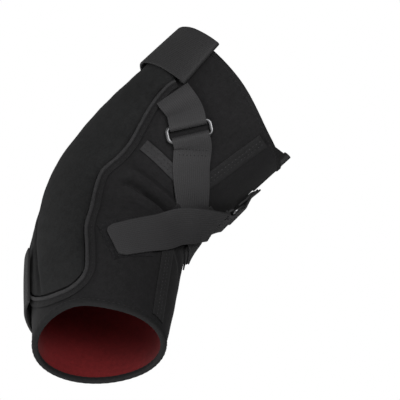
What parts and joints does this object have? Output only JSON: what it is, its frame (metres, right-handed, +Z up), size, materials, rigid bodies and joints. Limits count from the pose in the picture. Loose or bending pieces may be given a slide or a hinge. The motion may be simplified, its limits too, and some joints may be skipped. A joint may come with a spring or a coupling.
{
  "type": "elbow brace",
  "caption": "Bent neoprene elbow sleeve with padded side pockets, crossed webbing straps through wire rings, and cuff straps.",
  "frame": {"origin": "centre of the elbow, inside the sleeve where the two limbs' middle lines meet the bend", "axes": "+Z runs up the upper arm, the forearm bends 57 degrees toward +X, and the outer side of the arm faces -Y"},
  "size_m": [0.1807, 0.1257, 0.2313],
  "materials": {
    "neoprene": "knit-faced foam rubber, matt, with a red lining",
    "pocket_cloth": "brushed knit over a pad",
    "edging_cloth": "flat stitched binding tape",
    "webbing": "ribbed nylon webbing, slight sheen",
    "fuzzy_loop": "fuzzy loop and hook tape",
    "ring_steel": "satin nickel-plated wire"
  },
  "bodies": {
    "root": {"sleeve": "neoprene", "upper_hem": "edging_cloth", "lower_hem": "edging_cloth", "outer_pocket": "pocket_cloth", "inner_pocket": "pocket_cloth", "outer_edging": "edging_cloth", "inner_edging": "edging_cloth", "outer_tab": "webbing", "outer_strap": "webbing", "outer_ring": "ring_steel", "outer_strap_hook": "fuzzy_loop", "inner_loop_patch": "fuzzy_loop", "inner_tab": "webbing", "inner_strap": "webbing", "inner_ring": "ring_steel", "inner_strap_hook": "fuzzy_loop", "outer_loop_patch": "fuzzy_loop", "upper_cuff_strap": "webbing", "lower_cuff_strap": "webbing", "front_tape": "edging_cloth", "outer_crease_tape": "edging_cloth", "inner_crease_tape": "edging_cloth"}
  },
  "joints": []
}
